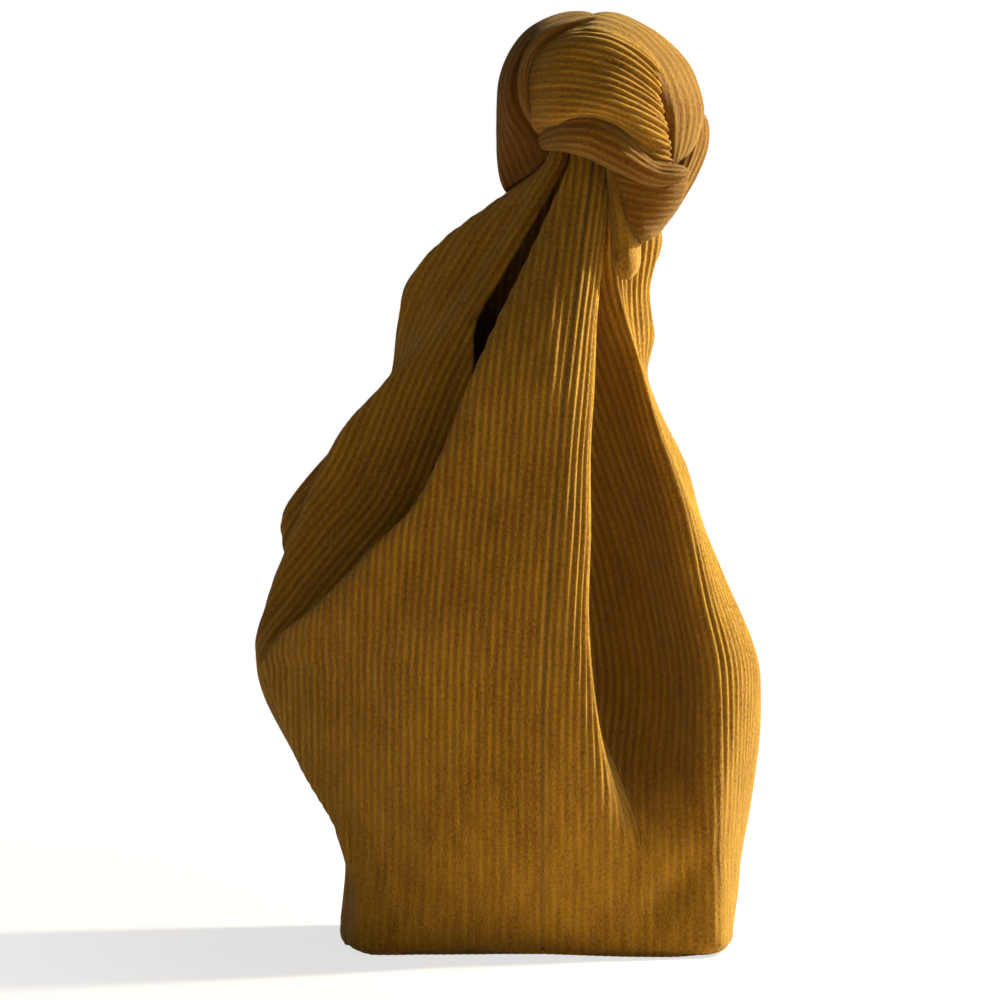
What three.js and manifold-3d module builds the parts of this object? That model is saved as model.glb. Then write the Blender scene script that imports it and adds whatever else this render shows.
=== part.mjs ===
// Pouch clutch of velvet corduroy: a boxed base, a body that folds in towards the top, and a big tied knot
// Millimetres, +Z up, front towards -Y, origin at the middle of the base
import * as THREE from "three";
import { mergeVertices } from "three/addons/utils/BufferGeometryUtils.js";
import Module from "manifold-3d";

const wasm = await Module();
wasm.setup();

// Body
const BODY_HEIGHT = 312;
const BASE_WIDTH = 150;
const BASE_DEPTH = 88;
const BASE_CORNER_TAPER = 4;
const CLOTH = 2;
const LINING = 0.6;
const LINING_TOP = 220;
const SEAM_GAP = 0.3;

// Board in the base
const BOARD = 2;
const BOARD_WIDTH = 128;
const BOARD_DEPTH = 74;
const BOARD_CORNER = 7;

// Tie at the top of the body
const NECK_X = 20;
const NECK_Y = -3;
const NECK_BELOW_TOP = 10;
const NECK_RADIUS = 20;
const NECK_WIDTH = 24;
const NECK_SOCKET_WIDTH = 44;
const NECK_DEPTH = 17;
const NECK_ROOT = 16;
const NOD_GAP = 0.4;

// Straps in the knot: how thick each fold of them lies, and how much of that is left at its edges
const FOLD = {
  wrap_band: 6,
  back_band: 6,
  knot_crown: 8,
  crown_edge: 5,
  right_lobe: 9,
  left_roll: 14,
  crown_back: 8,
  band_flap: 6,
  back_strap: 4,
};
const FOLD_EDGE = 0.6;

// Knot core and tail
const CORE = { x: 4, y: -1, z: 36, width: 57, depth: 48, height: 56 };
const TAIL = { x: 15, y: -25, z: -21, radius: 5.2, length: 8, gap: 0.4 };

// Rows and steps that the curved sheets are drawn with, and facets round the rest
const BODY_ROWS = 18;
const SPAN_STEPS = 3;
const STRIP_ROWS = 10;
const STRIP_STEPS = 6;
const FOOT_STEPS = 96;
const CORNER_STEPS = 6;
const ROLL_FACETS = 40;
const BALL_FACETS = 18;
const ROUNDING = 0.01;
const MERGING = 1e-4;

const halfW = BASE_WIDTH / 2;
const halfD = BASE_DEPTH / 2;
const neckZ = BODY_HEIGHT - NECK_BELOW_TOP;

// Lines up the body: x and y at a height in percent of the body, in order from the front seam leftwards
const rails = {
  frontSeam: [[2, -halfD, 0], [2, -54, 14], [2, -60, 32], [5, -60, 50], [10, -54, 70], [16, -40, 86],
    [22, -19.5, 100]],
  frontLeft: [[-36, -halfD - 1, 0], [-38, -50, 14], [-54, -46, 34], [-46, -52, 42], [-30, -53, 52],
    [-18, -52, 60], [-8, -50, 74], [3, -38, 86], [17, -19.5, 100]],
  foldLeft: [[BASE_CORNER_TAPER - halfW, -halfD, 0], [-70, -37, 9.6], [-77, -31, 14.4], [-94, -20, 23.4],
    [-108, -10, 36.5], [-102, -16, 40], [-88, -30, 44], [-65, -41, 51.6], [-46, -45, 58.3], [-26, -43.5, 74],
    [-10, -34, 85], [13, -18, 100]],
  hemLeft: [[-1 - halfW, -30, 0], [-77, -25, 14.4], [-95, -13, 23.4], [-109, -5, 34.5], [-110.5, -4, 36.5],
    [-97, -7, 40], [-80, -17, 44], [-54, -28, 51.6], [-34, -32, 58.3], [-14, -31, 74], [-1, -23, 85],
    [16, -12, 100]],
  wingInner: [[-1 - halfW, -30, 0], [-77, -25, 14.4], [-95, -13, 23.4], [-109, -5, 34.5], [-110.5, -4, 36.5],
    [-98, -3, 40], [-80, -6, 44], [-52, -9, 51.6], [-34, -10, 58.3], [-23, -9.5, 74], [-21, -9, 80],
    [-12, -9, 86], [11, -10, 100]],
  wingMid: [[-3 - halfW, -15, 0], [-78, -12, 14.4], [-96, -5, 23.4], [-112, 1, 36.5], [-97, 1, 44],
    [-78, -1, 51.6], [-62, -4, 58.3], [-42, -6, 74], [-24, -6, 84], [7, -9, 100]],
  wingRidge: [[-4 - halfW, 0, 0], [-78, 0, 14.4], [-96, 2, 23.4], [-112.5, 6, 37.5], [-109, 6, 43],
    [-101, 7, 50], [-80, 4, 65], [-61, 1, 72.4], [-38, -2, 80], [-18, -4, 89], [4, -6, 100]],
  sideLeft: [[-4 - halfW, 18, 0], [-77, 18, 14.4], [-92, 18, 23], [-107, 18, 37], [-96, 17, 50],
    [-73, 12, 65], [-58, 7, 72.4], [-47, 3, 80], [-30, 0, 89], [-12, -2, 95],
    [3, -2, 100]],
  backRidgeLeft: [[-3 - halfW, 36, 0], [-77, 38, 14.4], [-90, 38, 23.4], [-105, 34, 37], [-102, 30, 48],
    [-102.5, 27, 55], [-78, 20, 65], [-60, 15, 72.4], [-56, 12, 79], [-53, 10, 84.6], [-38, 7, 90.4],
    [-16, 5, 95.5], [5, 4, 100]],
  backLeft: [[-40, halfD + 1, 0], [-55, 53, 36], [-50, 43, 58], [-28, 31, 74], [-12, 21, 87], [11, 10, 100]],
  backSeam: [[0, halfD + 1, 0], [0, 53, 15], [0, 59, 35], [2, 51, 55], [8, 37, 74], [14, 24, 88],
    [20, 12, 100]],
  backRight: [[40, halfD + 1, 0], [49, 51, 36], [39, 41, 58], [31, 29, 74], [32, 18, 88], [30, 10, 100]],
  backRidgeRight: [[2 + halfW, 36, 0], [80, 38, 13], [83, 34, 25], [79, 28, 38], [66, 24, 51], [61, 18, 61],
    [48, 14, 69.6], [44.5, 12, 73], [48, 10, 78], [46, 8, 84], [51, 6, 91], [40, 3, 100]],
  sideRight: [[3.5 + halfW, 0, 0], [82, 2, 10], [88, -2, 21], [90, -6, 34], [86, -8, 39.4], [75, -6, 47.4],
    [62, -3, 57], [50, -4, 66.7], [42, -5, 75], [37, -6, 82.7], [36.5, -7, 91], [37, -5, 100]],
  cornerRight: [[halfW - 2, -halfD, 0], [73, -42, 11.5], [73, -41, 22], [74, -37, 36], [68, -33, 45],
    [60, -27, 56], [48, -19.5, 66.7], [41, -15, 75], [33, -12, 84], [31.5, -11.5, 91], [33, -10.5, 100]],
  hollowRight: [[56, -halfD - 1, 0], [55, -45, 13], [53, -38, 21.8], [50, -26, 30], [45, -16, 40],
    [40, -11, 51], [33, -9.5, 70], [27.5, -12.5, 87], [29, -13, 100]],
  valleyRight: [[42, -halfD - 1, 0], [41, -46, 12], [34, -41, 19], [25.5, -27, 29], [21, -17, 37],
    [20, -11, 50], [20.5, -9.5, 70], [22.5, -14, 90], [25.5, -14.5, 100]],
  foldRight: [[36, -halfD - 1, 0], [37, -48, 12], [32.5, -51, 19], [24.5, -56, 29], [20, -58, 41],
    [20, -54, 55], [21, -47, 68], [25, -34, 84.6], [28, -23, 94.5], [29.5, -18.5, 100]],
  frontRight: [[20, -halfD - 1, 0], [20, -52, 14], [14, -61, 32], [12.5, -61, 50], [15, -53, 70],
    [20, -40, 85], [25.5, -20, 100]],
};
const ROUND = Object.keys(rails);

// Each body panel: the rails it is drawn over, with one more rail at each end that steers its edge
const PANELS = {
  front_panel_left: ["frontRight", "frontSeam", "frontLeft", "foldLeft", "hemLeft", "wingMid"],
  side_panel_left: ["foldLeft", "wingInner", "wingMid", "wingRidge", "sideLeft", "backRidgeLeft", "backLeft"],
  back_panel_left: ["sideLeft", "backRidgeLeft", "backLeft", "backSeam", "backRight"],
  back_panel_right: ["backLeft", "backSeam", "backRight", "backRidgeRight", "sideRight"],
  side_panel_right: ["backRight", "backRidgeRight", "sideRight", "cornerRight", "hollowRight"],
  front_panel_right: ["sideRight", "cornerRight", "hollowRight", "valleyRight", "foldRight", "frontRight",
    "frontSeam", "frontLeft"],
};

// Strips of the knot, from the middle of the tie: lines along each strip, from one edge to the other
const STRIPS = {
  knot_crown: [
    [[-16, 2, 60], [-6, 8, 67], [6, 12, 69], [20, 12, 64], [30, 6, 55], [34, -4, 40], [36, -12, 22],
      [35, -16, 10]],
    [[-20, -12, 52], [-8, -16, 60], [6, -18, 62], [20, -16, 57], [29, -15, 46], [33, -18, 33], [35, -20, 20],
      [34, -20, 9]],
    [[-22, -18, 40], [-10, -29, 46], [4, -32, 48], [17, -30, 45], [26, -27, 37], [30, -26, 27], [32, -25, 17],
      [32, -24, 8]],
    [[-19, -18, 27], [-9, -29, 31], [3, -32, 32], [13, -31, 28], [20, -29, 22], [24, -28, 16], [27, -27, 12],
      [28, -26, 8]],
  ],
  crown_edge: [
    [[4, -3, 69], [-6, -4, 64], [-16, -8, 60], [-23, -12, 55], [-27, -15, 46], [-28, -16, 36], [-26, -15, 26],
      [-22, -12, 18]],
    [[3, -9, 68], [-7, -10, 62], [-16, -14, 57], [-22, -17, 52], [-25, -20, 45], [-26, -21, 36],
      [-24, -19, 27], [-20, -15, 19]],
    [[2, -13, 64], [-7, -14, 59], [-15, -17, 54], [-20, -20, 49], [-22, -22, 43], [-23, -22, 36],
      [-21, -20, 28], [-18, -16, 21]],
  ],
  left_roll: [
    [[6, 2, 69], [-6, 0, 65], [-16, -4, 61], [-23, -8, 55], [-27, -11, 46], [-29, -12, 36], [-27, -13, 26],
      [-24, -12, 18], [-21, -8, 12]],
    [[4, 10, 71], [-12, 9, 68], [-22, 7, 61], [-31, 4, 49], [-35, 3, 38], [-36, 2, 28], [-36, 2, 18],
      [-35, 2, 9], [-33, 3, 4]],
    [[4, 20, 66], [-12, 22, 62], [-20, 22, 54], [-26, 21, 44], [-29, 20, 36], [-30, 19, 28], [-29, 18, 19],
      [-27, 16, 12], [-25, 14, 8]],
  ],
  right_lobe: [
    [[22, 4, 64], [29, -7, 52], [33, -14, 40], [36, -16, 28], [38, -17, 17], [38, -17, 11]],
    [[30, 10, 60], [38, -2, 50], [42, -9, 39], [44, -12, 29], [42, -14, 19], [40, -15, 12]],
    [[30, 18, 57], [40, 9, 49], [45, 3, 41], [47, -1, 31], [45, -6, 22], [41, -10, 13]],
  ],
  back_strap: [
    [[40, 0, 32], [42, 0, 26], [41, 0, 14], [38, 0, 4], [33, 0, -6]],
    [[46, 4, 32], [49, 4, 26], [48, 4, 14], [44, 4, 4], [38, 4, -6]],
  ],
  wrap_band: [
    [[-19, -15, 21], [-14, -21, 25], [-7, -27, 27], [2, -28, 28], [10, -28, 25], [17, -28, 19], [24, -28, 12],
      [33, -27, 8], [41, -22, 7]],
    [[-20, -18, 17], [-14, -27, 20], [-6, -34, 21], [3, -36, 21], [11, -35, 17], [19, -34, 11], [27, -33, 6],
      [35, -30, 3], [43, -23, 4]],
    [[-18, -18, 13], [-12, -25, 13.5], [-5, -30, 12.5], [3, -32, 12], [10, -32, 8], [17, -32, 4], [25, -31, 0],
      [34, -29, -2], [42, -22, 1]],
  ],
  back_band: [
    [[-24, -9, 18], [-26, 6, 20], [-20, 20, 21], [-5, 27, 21], [13, 27, 20], [30, 22, 17], [40, 9, 11]],
    [[-26, -7, 14], [-28, 7, 14], [-21, 22, 13], [-5, 30, 13], [13, 30, 12], [32, 24, 10], [42, 10, 7]],
    [[-23, -6, 10], [-26, 6, 8], [-20, 20, 5], [-5, 27, 4], [13, 27, 3], [30, 22, 3], [40, 9, 3]],
  ],
  crown_back: [
    [[-17, 8, 60], [-6, 14, 66], [6, 17, 67], [18, 16, 63], [28, 14, 57], [36, 8, 48]],
    [[-24, 18, 46], [-10, 25, 49], [5, 28, 50], [20, 26, 47], [32, 20, 42], [40, 10, 36]],
    [[-24, 19, 27], [-10, 27, 27], [6, 30, 27], [22, 28, 25], [35, 20, 22], [42, 9, 20]],
  ],
  band_flap: [
    [[39, -21, -1], [37, -21, -6], [33, -21, -12], [27, -21, -16], [21, -22, -20]],
    [[28, -28, 0], [27, -27, -7], [24, -26, -13], [21, -26, -17], [17, -26, -20]],
    [[14, -27, 4], [13, -24, -4], [12, -24, -12], [12, -24, -17], [12, -24, -20]],
  ],
};

// Cubic through a rail's points, with each point's slope taken across its neighbours
function railPoint(name, percent) {
  const rail = rails[name];
  const last = rail.length - 1;
  const above = rail.findIndex((point) => point[2] > percent);
  const k = above < 0 ? last : Math.max(above, 1);
  const [low, high] = [rail[k - 1], rail[k]];
  const span = high[2] - low[2];
  const t = (percent - low[2]) / span;
  const slope = (i, axis) => {
    const [before, after] = [rail[Math.max(i - 1, 0)], rail[Math.min(i + 1, last)]];
    return (after[axis] - before[axis]) / (after[2] - before[2]);
  };
  const along = (axis) =>
    low[axis] * (1 + 2 * t) * (1 - t) ** 2 +
    high[axis] * t * t * (3 - 2 * t) +
    span * (slope(k - 1, axis) * t * (1 - t) ** 2 - slope(k, axis) * t * t * (1 - t));
  return new THREE.Vector3(along(0), along(1), (percent / 100) * BODY_HEIGHT);
}

// A panel's section at one height: an open curve over its rails, ending half a seam gap short at each side
function panelRow(names, percent) {
  const points = names.map((name) => railPoint(name, percent));
  const end = points.length - 1;
  const curve = new THREE.CatmullRomCurve3(points, false, "centripetal");
  const count = (end - 2) * SPAN_STEPS;
  const shares = Array.from({ length: count + 1 }, (_, i) => (1 + i / SPAN_STEPS) / end);
  const at = (share) => Object.assign(curve.getPoint(share), { across: curve.getTangent(share) });
  const row = shares.map(at);
  const pull = (from, to) => row[from].lerp(row[to], SEAM_GAP / 2 / row[from].distanceTo(row[to]));
  pull(0, 1);
  pull(count, count - 1);
  return row;
}

const panelGrid = (names, heights) => heights.map((height) => panelRow(names, (height / BODY_HEIGHT) * 100));

// A strip's grid over its lines, turned so that its outer side faces away from the middle of the knot
function stripGrid(lines) {
  const curves = lines.map((line) => new THREE.CatmullRomCurve3(line.map((p) => new THREE.Vector3(...p))));
  const grid = Array.from({ length: STRIP_ROWS + 1 }, (_, j) => {
    const across = new THREE.CatmullRomCurve3(curves.map((curve) => curve.getPoint(j / STRIP_ROWS)));
    return Array.from({ length: STRIP_STEPS + 1 }, (_, i) => across.getPoint(i / STRIP_STEPS));
  });
  const [j, i] = [STRIP_ROWS / 2, STRIP_STEPS / 2];
  const along = grid[j + 1][i].clone().sub(grid[j - 1][i]);
  const outward = along.cross(grid[j][i + 1].clone().sub(grid[j][i - 1]));
  const facesOut = outward.dot(grid[j][i].clone().sub(new THREE.Vector3(CORE.x, CORE.y, CORE.z))) > 0;
  return facesOut ? grid : grid.map((row) => row.reverse());
}

// A grid's points moved inwards by a depth that may change across the grid; a level foot stays level
function sunk(grid, depth, levelFoot = false) {
  const within = (k, list) => list[Math.min(Math.max(k, 0), list.length - 1)];
  const at = (j, i) => within(i, within(j, grid));
  return grid.map((row, j) =>
    row.map((point, i) => {
      const across = point.across ?? at(j, i + 1).clone().sub(at(j, i - 1));
      const normal = at(j + 1, i).clone().sub(at(j - 1, i)).cross(across);
      if (levelFoot && j === 0) {
        normal.z = 0;
      }
      return point.clone().addScaledVector(normal.normalize(), -depth(i / (row.length - 1)));
    }),
  );
}

// Two grids of the same size closed round their rims into one body
function closed(outer, inner) {
  const rows = outer.length;
  const columns = outer[0].length;
  const end = columns - 1;
  const positions = [...outer.flat(), ...inner.flat()].flatMap((point) => point.toArray());
  const index = [];
  const node = (side, j, i) => (side * rows + j) * columns + i;
  const quad = (a, b, c, d) => index.push(a, b, c, a, c, d);
  for (let j = 0; j + 1 < rows; j++) {
    for (let i = 0; i + 1 < columns; i++) {
      quad(node(0, j, i), node(0, j + 1, i), node(0, j + 1, i + 1), node(0, j, i + 1));
      quad(node(1, j, i), node(1, j, i + 1), node(1, j + 1, i + 1), node(1, j + 1, i));
    }
    quad(node(0, j, 0), node(1, j, 0), node(1, j + 1, 0), node(0, j + 1, 0));
    quad(node(0, j, end), node(0, j + 1, end), node(1, j + 1, end), node(1, j, end));
  }
  for (let i = 0; i + 1 < columns; i++) {
    quad(node(0, 0, i), node(0, 0, i + 1), node(1, 0, i + 1), node(1, 0, i));
    quad(node(0, rows - 1, i), node(1, rows - 1, i), node(1, rows - 1, i + 1), node(0, rows - 1, i + 1));
  }
  const geometry = new THREE.BufferGeometry();
  geometry.setAttribute("position", new THREE.Float32BufferAttribute(positions, 3));
  geometry.setIndex(index);
  return geometry;
}

// Only the positions, with shared points merged and the faces dropped that this collapses
function bare(geometry) {
  geometry.deleteAttribute("normal");
  geometry.deleteAttribute("uv");
  const merged = mergeVertices(geometry, MERGING);
  const index = [];
  for (let i = 0; i < merged.index.count; i += 3) {
    const [a, b, c] = [0, 1, 2].map((corner) => merged.index.getX(i + corner));
    if (a !== b && b !== c && c !== a) {
      index.push(a, b, c);
    }
  }
  merged.setIndex(index);
  return merged;
}

function solid(geometry) {
  const merged = bare(geometry);
  return new wasm.Manifold(
    new wasm.Mesh({
      numProp: 3,
      vertProperties: new Float32Array(merged.attributes.position.array),
      triVerts: new Uint32Array(merged.index.array),
    }),
  );
}

// A grid with its rim moved out along the sheet by a gap
function wider(grid, gap) {
  const inner = (k, count) => Math.min(Math.max(k, 1), count - 2);
  return grid.map((row, j) =>
    row.map((point, i) => {
      const outward = point.clone().sub(grid[inner(j, grid.length)][inner(i, row.length)]);
      outward.setLength(outward.length() && gap);
      return Object.assign(point.clone().add(outward), { across: point.across });
    }),
  );
}

// A sheet's solid, larger all round by a gap, to cut its neighbours with
function cutter(grid, depth, gap) {
  const rim = wider(grid, gap);
  const outer = sunk(rim, () => -gap);
  const inner = sunk(rim, (across) => depth(across) + gap);
  return solid(closed(outer, inner)).add(solid(closed(grid, sunk(grid, depth))));
}

// The largest body of a cut, with its points rounded so that no sliver is left along the cut
function geometryOf(body) {
  const mesh = body.getMesh();
  const geometry = new THREE.BufferGeometry();
  const rounded = mesh.vertProperties.map((value) => Math.round(value / ROUNDING) * ROUNDING);
  geometry.setAttribute("position", new THREE.BufferAttribute(rounded, 3));
  geometry.setIndex([...mesh.triVerts]);
  const pieces = solid(geometry).decompose();
  const largest = pieces.reduce((a, b) => (b.volume() > a.volume() ? b : a)).getMesh();
  const result = new THREE.BufferGeometry();
  result.setAttribute("position", new THREE.BufferAttribute(largest.vertProperties, 3));
  result.setIndex([...largest.triVerts]);
  return result;
}

const corduroy = (color) => new THREE.MeshStandardMaterial({ color, roughness: 0.9, metalness: 0 });
const MUSTARD = corduroy(0xb5852d);
const MUSTARD_SHADE = corduroy(0x94691f);
const LINING_LOOK = corduroy(0x5a4526);
const BOARD_LOOK = corduroy(0x6b5a45);

function part(parent, name, geometry, material) {
  const mesh = new THREE.Mesh(geometry, material);
  mesh.name = name;
  parent.add(mesh);
}

function plate(outline, thickness, bottom) {
  const settings = { depth: thickness, bevelEnabled: false, curveSegments: CORNER_STEPS };
  return bare(new THREE.ExtrudeGeometry(outline, settings).translate(0, 0, bottom));
}

function roundedPlate(width, depth, corner) {
  const [w, d] = [width / 2 - corner, depth / 2 - corner];
  const shape = new THREE.Shape();
  shape.absarc(w, d, corner, 0, Math.PI / 2);
  shape.absarc(-w, d, corner, Math.PI / 2, Math.PI);
  shape.absarc(-w, -d, corner, Math.PI, 1.5 * Math.PI);
  shape.absarc(w, -d, corner, 1.5 * Math.PI, 2 * Math.PI);
  shape.closePath();
  return shape;
}

const pouch = new THREE.Group();

// Body panels of outer cloth, each with its lining inside
const bodyBottom = CLOTH + SEAM_GAP;
const liningBottom = bodyBottom + BOARD + SEAM_GAP + LINING + SEAM_GAP;
const rise = (BODY_HEIGHT - liningBottom) / BODY_ROWS;
const levels = Array.from({ length: BODY_ROWS + 1 }, (_, j) => liningBottom + rise * j);
const liningLevels = levels.filter((level) => level <= LINING_TOP);
const panelCutters = [];
for (const [name, names] of Object.entries(PANELS)) {
  const grid = panelGrid(names, [bodyBottom, ...levels]);
  const inside = (depth) => sunk(grid, () => depth, true);
  const lined = (depth) => inside(depth).slice(1, 1 + liningLevels.length);
  const geometry = closed(grid, inside(CLOTH));
  panelCutters.push(cutter(grid, () => CLOTH, SEAM_GAP));
  part(pouch, name, geometry, name.startsWith("front") ? MUSTARD : MUSTARD_SHADE);
  const lining = closed(lined(CLOTH + SEAM_GAP), lined(CLOTH + SEAM_GAP + LINING));
  part(pouch, name.replace("panel", "lining"), lining, LINING_LOOK);
}

// Base: the outer cloth across the whole foot, a board on it, and the lining's floor
const foot = new THREE.CatmullRomCurve3(
  ROUND.filter((name) => name !== "hemLeft").map((name) => railPoint(name, 0)),
  true,
  "centripetal",
);
const footPoints = foot.getSpacedPoints(FOOT_STEPS);
const footShape = new THREE.Shape(footPoints.map((point) => new THREE.Vector2(point.x, point.y)));
const board = roundedPlate(BOARD_WIDTH, BOARD_DEPTH, BOARD_CORNER);
part(pouch, "base_panel", plate(footShape, CLOTH, 0), MUSTARD_SHADE);
part(pouch, "base_board", plate(board, BOARD, bodyBottom), BOARD_LOOK);
part(pouch, "base_lining", plate(board, LINING, bodyBottom + BOARD + SEAM_GAP), LINING_LOOK);

// Gathered neck: the strap roots in the tie, rounded on top so that the knot nods on them
const roll = new THREE.CylinderGeometry(NECK_RADIUS, NECK_RADIUS, NECK_WIDTH, ROLL_FACETS);
roll.rotateZ(Math.PI / 2).translate(NECK_X, NECK_Y, neckZ);
const root = new THREE.BoxGeometry(NECK_WIDTH, NECK_DEPTH, NECK_ROOT + NECK_RADIUS);
root.translate(NECK_X, NECK_Y, neckZ + (NECK_RADIUS - NECK_ROOT) / 2);
let neck = solid(roll).intersect(solid(root));
for (const panelCutter of panelCutters) {
  neck = neck.subtract(panelCutter);
}
part(pouch, "gathered_neck", geometryOf(neck), MUSTARD_SHADE);

// Knot: strips wound round a core, each cut back from the strips that lie over it
const knot = new THREE.Group();
knot.position.set(NECK_X, NECK_Y, neckZ);
pouch.add(knot);
const puffed = (across) => FOLD_EDGE + (1 - FOLD_EDGE) * Math.sin(Math.PI * across);
const sphere = (radius) => new THREE.SphereGeometry(radius, BALL_FACETS, BALL_FACETS / 2);
const tailSocket = sphere(TAIL.radius + TAIL.gap).translate(TAIL.x, TAIL.y, TAIL.z);
const socketRadius = NECK_RADIUS + NOD_GAP;
const neckSocket = new THREE.CylinderGeometry(socketRadius, socketRadius, NECK_SOCKET_WIDTH, ROLL_FACETS);
neckSocket.rotateZ(Math.PI / 2);
const ball = (gap) => {
  const geometry = sphere(0.5).scale(CORE.width + 2 * gap, CORE.depth + 2 * gap, CORE.height + 2 * gap);
  return solid(geometry.translate(CORE.x, CORE.y, CORE.z));
};
part(knot, "knot_core", geometryOf(ball(0).subtract(solid(neckSocket))), MUSTARD_SHADE);
const over = [ball(SEAM_GAP), solid(neckSocket), solid(tailSocket)];
for (const [name, fold] of Object.entries(FOLD)) {
  const grid = stripGrid(STRIPS[name]);
  const depth = (across) => fold * puffed(across);
  let body = solid(closed(grid, sunk(grid, depth)));
  for (const earlier of over) {
    body = body.subtract(earlier);
  }
  over.push(cutter(grid, depth, SEAM_GAP));
  part(knot, name, geometryOf(body), MUSTARD);
}

// Tail of the strap, hanging in the end of the flap
const tail = new THREE.Group();
tail.position.set(TAIL.x, TAIL.y, TAIL.z);
tail.rotation.set(Math.PI / 2, 0, 0);
knot.add(tail);
const stub = new THREE.CapsuleGeometry(TAIL.radius, TAIL.length, CORNER_STEPS, BALL_FACETS);
part(tail, "strap_tail", bare(stub.translate(0, -TAIL.length / 2, 0)), MUSTARD);

export default pouch;
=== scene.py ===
import math

import bpy
import numpy as np
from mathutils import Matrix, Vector


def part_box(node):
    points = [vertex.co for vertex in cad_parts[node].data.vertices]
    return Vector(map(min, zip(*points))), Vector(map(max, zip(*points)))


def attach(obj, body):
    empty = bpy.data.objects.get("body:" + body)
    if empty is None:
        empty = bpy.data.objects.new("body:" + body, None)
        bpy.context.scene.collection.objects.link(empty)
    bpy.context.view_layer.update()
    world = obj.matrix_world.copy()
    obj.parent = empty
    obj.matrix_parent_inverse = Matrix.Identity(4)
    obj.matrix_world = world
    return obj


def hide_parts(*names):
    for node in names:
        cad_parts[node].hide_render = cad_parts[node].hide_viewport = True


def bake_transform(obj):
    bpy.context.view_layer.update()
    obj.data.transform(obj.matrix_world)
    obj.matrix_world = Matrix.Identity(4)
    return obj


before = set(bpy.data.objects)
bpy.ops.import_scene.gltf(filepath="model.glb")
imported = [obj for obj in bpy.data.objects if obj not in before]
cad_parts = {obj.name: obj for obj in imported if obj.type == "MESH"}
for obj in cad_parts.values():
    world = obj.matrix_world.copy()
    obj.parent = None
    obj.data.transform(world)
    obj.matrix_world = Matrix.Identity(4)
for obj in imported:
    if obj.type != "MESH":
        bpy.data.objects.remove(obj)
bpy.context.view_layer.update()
scene = bpy.context.scene
scene.view_settings.view_transform = "Standard"

# Sizes in millimetres, which MM turns into metres
MM = 0.001
HEIGHT = 312.0
TOP = 322.0
HALF_W = 75.0
HALF_D = 44.0
CLOTH = 2.0
BASE_CLOTH = 1.6
FOOT_INSET = 3.0
LINING = 0.6
LINING_GAP = 0.6
LINING_FOOT = 5.0
LINING_TOP = 220.0
# The middle of the tie, and the middle of the knot from there
NECK = np.array([20.0, -3.0, 302.0])
KNOT_MID = np.array([4.0, -1.0, 36.0])

# Corduroy: the spacing of the wales, the depth of their grooves, their roundness and a crease's width
PITCH = 3.175
KNOT_PITCH = 2.9
RIB = 0.5
KNOT_RIB = 0.42
BASE_RIB = 0.12
RIB_ROUND = 1.4
CREASE = 1.1
# Where the samples of one wale lie, from groove to groove
WALE = np.linspace(0, 1, 8, endpoint=False)

# The front's hem and the wing's inner line run together up to the mouth
WING_FOOT = [(-1 - HALF_W, -30, 0), (-77, -25, 14.4), (-95, -13, 23.4), (-109, -5, 34.5),
             (-110.5, -4, 36.5)]
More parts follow.
